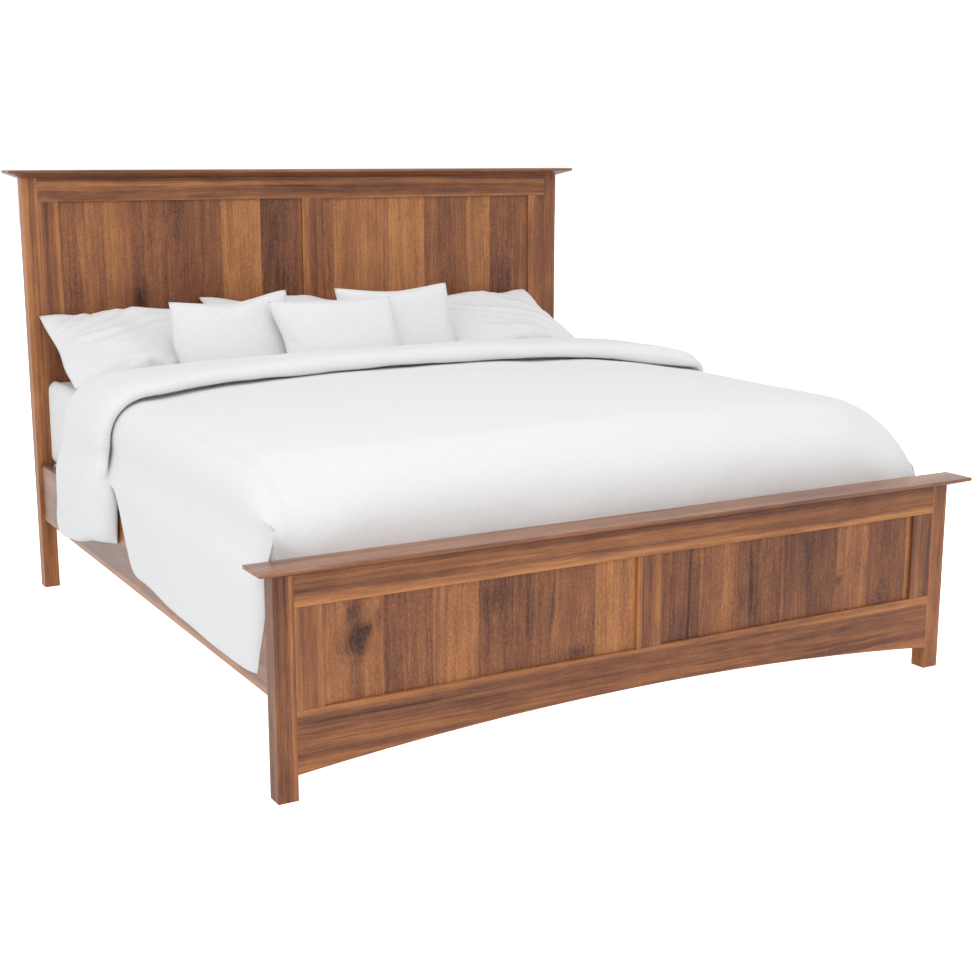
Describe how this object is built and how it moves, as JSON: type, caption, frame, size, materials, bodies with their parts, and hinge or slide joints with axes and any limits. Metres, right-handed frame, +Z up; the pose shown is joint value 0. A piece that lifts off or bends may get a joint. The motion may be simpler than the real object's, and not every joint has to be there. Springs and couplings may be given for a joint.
{
  "type": "bed",
  "caption": "Panel bed with a tall headboard, a low arched footboard, moulded caps, slatted base, foundation, mattress, duvet turned back at the head, pillows and cushions.",
  "frame": {"origin": "on the floor, under the middle of the bed's outline", "axes": "+X across the bed, to the right as seen from the foot end; +Y towards the headboard; +Z up"},
  "size_m": [2.1692, 2.196, 1.39],
  "materials": {
    "walnut": "satin, mid reddish brown with dark and light streaks",
    "walnut_panel": "satin, vertical staves of varied tone",
    "pine": "planed, unfinished",
    "steel": "zinc plated",
    "foundation_cover": "woven cover",
    "mattress_cover": "fitted sheet",
    "duvet_cover": "matt white cotton",
    "pillow_cover": "matt white cotton"
  },
  "bodies": {
    "bed": {"headboard_post_left": "walnut", "headboard_post_right": "walnut", "headboard_top_rail": "walnut", "headboard_bottom_rail": "walnut", "headboard_stile_left": "walnut", "headboard_stile_center": "walnut", "headboard_stile_right": "walnut", "headboard_panel_left": "walnut_panel", "headboard_panel_right": "walnut_panel", "headboard_cap": "walnut", "footboard_post_left": "walnut", "footboard_post_right": "walnut", "footboard_top_rail": "walnut", "footboard_bottom_rail": "walnut", "footboard_stile_left": "walnut", "footboard_stile_center": "walnut", "footboard_stile_right": "walnut", "footboard_panel_left": "walnut_panel", "footboard_panel_right": "walnut_panel", "footboard_cap": "walnut", "side_rail_left": "walnut", "side_rail_right": "walnut", "ledger_left": "pine", "ledger_right": "pine", "hook_plate_foot_left": "steel", "hook_plate_foot_right": "steel", "hook_plate_head_left": "steel", "hook_plate_head_right": "steel", "slot_plate_foot_left": "steel", "slot_plate_foot_right": "steel", "slot_plate_head_left": "steel", "slot_plate_head_right": "steel", "center_beam": "pine", "beam_bracket_head": "steel", "beam_bracket_foot": "steel", "support_leg_front": "walnut", "support_leg_back": "walnut", "leg_insert_front": "steel", "leg_insert_back": "steel", "slat_1": "pine", "slat_2": "pine", "slat_3": "pine", "slat_4": "pine", "slat_5": "pine", "slat_6": "pine", "slat_7": "pine", "slat_8": "pine", "plate_screws": "steel", "base_screws": "steel", "foundation": "foundation_cover", "mattress": "mattress_cover", "duvet": "duvet_cover", "pillow_left": "pillow_cover", "pillow_center": "pillow_cover", "pillow_right": "pillow_cover", "cushion_left": "pillow_cover", "cushion_center": "pillow_cover", "cushion_right": "pillow_cover"},
    "foot_front": {"leveling_foot_front": "steel"},
    "foot_back": {"leveling_foot_back": "steel"}
  },
  "joints": [
    {"name": "foot_front_height", "type": "slide", "parent": "bed", "child": "foot_front", "axis": [0, 0, 1], "range_m": [0, 0.012]},
    {"name": "foot_back_height", "type": "slide", "parent": "bed", "child": "foot_back", "axis": [0, 0, 1], "range_m": [0, 0.012]}
  ]
}
